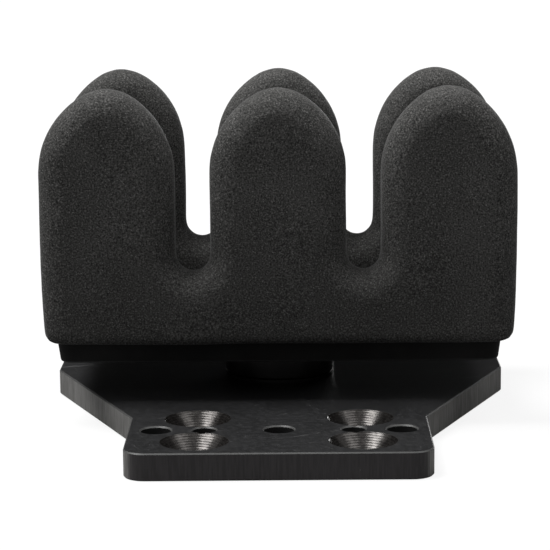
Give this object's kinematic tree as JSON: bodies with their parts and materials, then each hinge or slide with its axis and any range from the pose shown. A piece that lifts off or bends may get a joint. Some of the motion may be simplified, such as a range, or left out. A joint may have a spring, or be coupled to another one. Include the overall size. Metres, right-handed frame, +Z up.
{
  "type": "padded swivel cradle",
  "caption": "Foam-covered two-slot cradle that swivels on a black machined mounting plate with a drilled tongue.",
  "frame": {"origin": "centre of the tongue's hole pattern, on the plate's underside", "axes": "+X to the right across the tongue, +Y from the tongue towards the cradle, +Z up out of the plate"},
  "size_m": [0.1152, 0.1146, 0.0817],
  "materials": {
    "black_anodised_plate": "satin black anodised, machined edges",
    "bright_steel": "bright zinc plated",
    "blackened_steel": "smooth turned and blackened",
    "screw_steel": "black oxide",
    "nylon": "natural nylon",
    "black_plastic": "matte",
    "black_foot": "matte black anodised",
    "comb_steel": "zinc plated sheet",
    "foam": "matte grainy moulded foam skin"
  },
  "bodies": {
    "base": {"base_plate": "black_anodised_plate", "thrust_washer": "blackened_steel", "pivot_boss": "blackened_steel", "pivot_screw": "screw_steel", "lower_spring_washer": "bright_steel", "upper_spring_washer": "bright_steel", "lock_nut": "bright_steel", "nut_ring": "nylon"},
    "cradle": {"friction_washer": "black_plastic", "pivot_bush": "nylon", "cap_washer": "bright_steel", "swivel_foot": "black_foot", "front_comb": "comb_steel", "rear_comb": "comb_steel", "front_comb_screws": "screw_steel", "rear_comb_screws": "screw_steel", "front_pad": "foam", "rear_pad": "foam", "floor_pad": "foam"}
  },
  "joints": [
    {"name": "swivel", "type": "hinge", "parent": "base", "child": "cradle", "pos_m": [0, 0.06, 0.0145], "axis": [0, 0, 1], "continuous": true}
  ]
}
